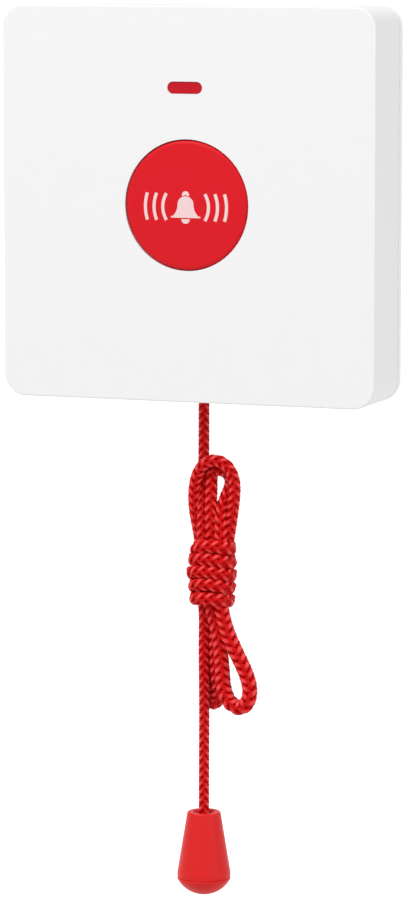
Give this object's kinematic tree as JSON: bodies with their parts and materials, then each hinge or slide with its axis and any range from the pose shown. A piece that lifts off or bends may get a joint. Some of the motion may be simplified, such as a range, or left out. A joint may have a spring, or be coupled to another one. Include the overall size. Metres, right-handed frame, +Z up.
{
  "type": "wireless panic button",
  "caption": "Square wall-mounted wireless panic button with a round red push button, an indicator window and a braided pull cord wound into a hank above a conical knob.",
  "frame": {"origin": "centre of the wall plate's back face, on the wall", "axes": "+Y into the wall, so the front faces -Y; +Z up; +X to the right of someone who looks at the front"},
  "size_m": [0.086, 0.019, 0.1979],
  "materials": {
    "white_cover": "satin moulded plastic",
    "white_plate": "satin moulded plastic",
    "pale_seal": "soft seal",
    "red_button": "satin red plastic",
    "clear_silicone": "soft silicone",
    "black_switch": "black moulded plastic",
    "switch_stem": "black moulded plastic",
    "red_window": "polished translucent red plastic",
    "lamp": "clear resin",
    "green_board": "solder mask",
    "black_holder": "black moulded plastic",
    "steel_cell": "bright steel",
    "spring_sheet": "spring sheet",
    "chip_resin": "moulded resin",
    "crystal_metal": "drawn can",
    "aerial_wire": "plain wire",
    "screw_steel": "zinc plated",
    "white_bush": "moulded plastic",
    "spring_wire": "spring wire",
    "slider_plastic": "moulded plastic",
    "guide_plastic": "moulded plastic",
    "red_cord": "braided polyester cord",
    "red_knob": "satin red plastic",
    "red_knob_cap": "satin red plastic"
  },
  "bodies": {
    "case": {"front_cover": "white_cover", "wall_plate": "white_plate", "rim_seal": "pale_seal", "return_ring": "clear_silicone", "tact_switch": "black_switch", "light_pipe": "red_window", "indicator_lamp": "lamp", "circuit_board": "green_board", "cell_holder": "black_holder", "coin_cell": "steel_cell", "cell_clip": "spring_sheet", "radio_chip": "chip_resin", "crystal_can": "crystal_metal", "aerial": "aerial_wire", "board_screws": "screw_steel", "guide_screws": "screw_steel", "cord_bush": "white_bush", "pull_spring": "spring_wire", "slide_guide": "guide_plastic", "cord_switch": "black_switch"},
    "button": {"call_button": "red_button", "tact_stem": "switch_stem"},
    "pull": {"pull_slider": "slider_plastic", "cord_top_knot": "red_cord", "cord_upper": "red_cord", "cord_hank": "red_cord", "cord_lower": "red_cord", "cord_end_knot": "red_cord", "pull_knob": "red_knob", "knob_cap": "red_knob_cap"},
    "trip": {"trip_stem": "switch_stem"}
  },
  "joints": [
    {"name": "button_press", "type": "slide", "parent": "case", "child": "button", "axis": [0, 1, 0], "range_m": [0, 0.0008], "stiffness_N_per_m": 3000, "deforming": ["return_ring"]},
    {"name": "cord_pull", "type": "slide", "parent": "case", "child": "pull", "axis": [0, 0, -1], "range_m": [0, 0.003], "stiffness_N_per_m": 1500, "deforming": ["pull_spring"]},
    {"name": "switch_trip", "type": "slide", "parent": "case", "child": "trip", "axis": [0, -1, 0], "range_m": [0, 0.0009]}
  ],
  "couplings": [
    {"joint": "switch_trip", "follows": "cord_pull", "ratio": 0.3}
  ]
}
